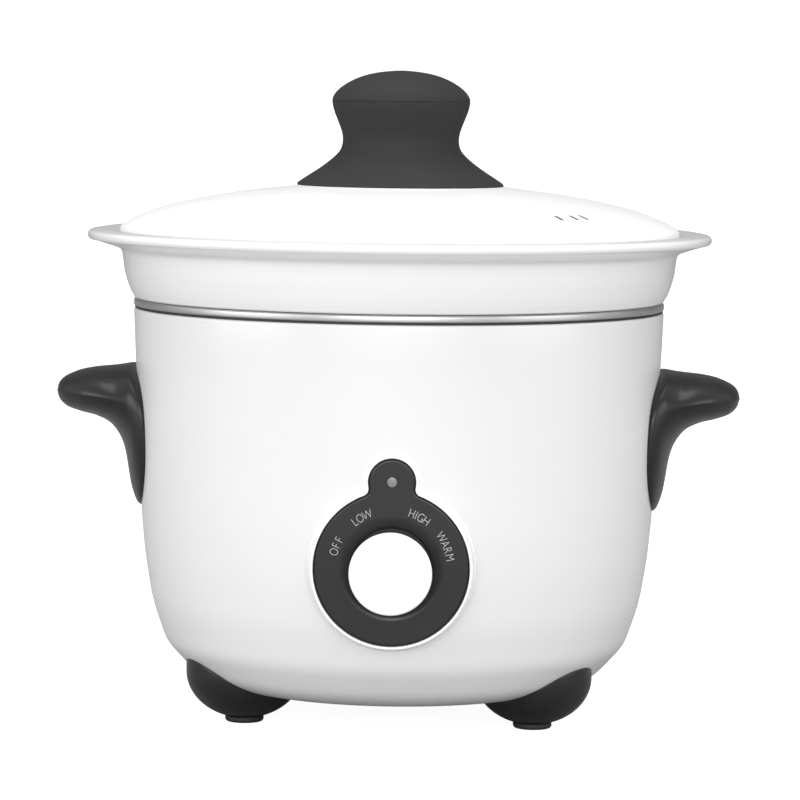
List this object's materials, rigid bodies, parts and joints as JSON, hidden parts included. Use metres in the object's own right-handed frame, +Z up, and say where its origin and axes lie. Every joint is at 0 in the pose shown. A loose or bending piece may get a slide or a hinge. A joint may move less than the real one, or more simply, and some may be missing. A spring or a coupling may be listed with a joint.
{
  "type": "slow cooker",
  "caption": "Small round slow cooker with a heated base, lift-out crock, lid with knob, side handles, bowl feet and a rotary heat control.",
  "frame": {"origin": "centre of the footprint on the table, at the underside of the foot pads", "axes": "+Z up along the body's axis, -Y towards the control panel, +X towards the right-hand handle as seen from the front"},
  "size_m": [0.226, 0.2054, 0.2126],
  "materials": {
    "white_shell": "smooth white enamel",
    "white_plastic": "glossy white moulded plastic",
    "charcoal_plastic": "satin charcoal moulded plastic",
    "lens": "translucent grey lens",
    "lamp": "clear",
    "liner_steel": "drawn steel",
    "steel": "zinc-plated steel",
    "dark_rubber": "matte black rubber",
    "stoneware": "white gloss glaze",
    "lid_ceramic": "white gloss glaze",
    "grey_silicone": "grey silicone",
    "switch_resin": "moulded resin",
    "brass": "plated brass",
    "mica": "woven glass-fibre band",
    "insulation": "glass-fibre blanket",
    "fuse_ceramic": "bare ceramic",
    "cover_plastic": "grey moulded plastic",
    "block_plastic": "ivory moulded plastic",
    "lead_brown": "silicone wire",
    "lead_blue": "silicone wire"
  },
  "bodies": {
    "base": {"outer_shell": "white_shell", "panel_surround": "white_plastic", "control_bezel": "charcoal_plastic", "indicator_lens": "lens", "indicator_lamp": "lamp", "switch_body": "switch_resin", "switch_plate": "steel", "switch_screws": "steel", "switch_terminals": "brass", "heating_liner": "liner_steel", "rim_gasket": "dark_rubber", "heater_band": "mica", "band_strap": "steel", "strap_screw": "steel", "insulation_wrap": "insulation", "thermal_fuse": "fuse_ceramic", "fuse_clip": "steel", "base_cover": "cover_plastic", "cover_screws": "steel", "tie_stud": "steel", "tie_nut": "steel", "foot_left": "charcoal_plastic", "foot_right": "charcoal_plastic", "foot_rear": "charcoal_plastic", "foot_pad_left": "dark_rubber", "foot_pad_right": "dark_rubber", "foot_pad_rear": "dark_rubber", "foot_screws": "steel", "foot_nuts": "steel", "handle_left": "charcoal_plastic", "handle_right": "charcoal_plastic", "handle_screws": "steel", "cord_gland": "charcoal_plastic", "gland_nut": "steel", "terminal_block": "block_plastic", "lead_live": "lead_brown", "lead_neutral": "lead_blue"},
    "control": {"control_knob": "white_plastic", "knob_spring": "steel", "switch_shaft": "steel"},
    "crock": {"crock": "stoneware"},
    "lid": {"lid": "lid_ceramic", "lid_gasket": "grey_silicone", "lid_knob": "charcoal_plastic", "lid_washer": "steel", "lid_screw": "steel"}
  },
  "joints": [
    {"name": "control_turn", "type": "hinge", "parent": "base", "child": "control", "pos_m": [0, -0.09, 0.0584], "axis": [0, 1, 0], "range_deg": [0, 134.5]},
    {"name": "crock_lift", "type": "slide", "parent": "base", "child": "crock", "axis": [0, 0, 1], "range_m": [0, 0.125]},
    {"name": "lid_lift", "type": "slide", "parent": "crock", "child": "lid", "axis": [0, 0, 1], "range_m": [0, 0.06]}
  ]
}
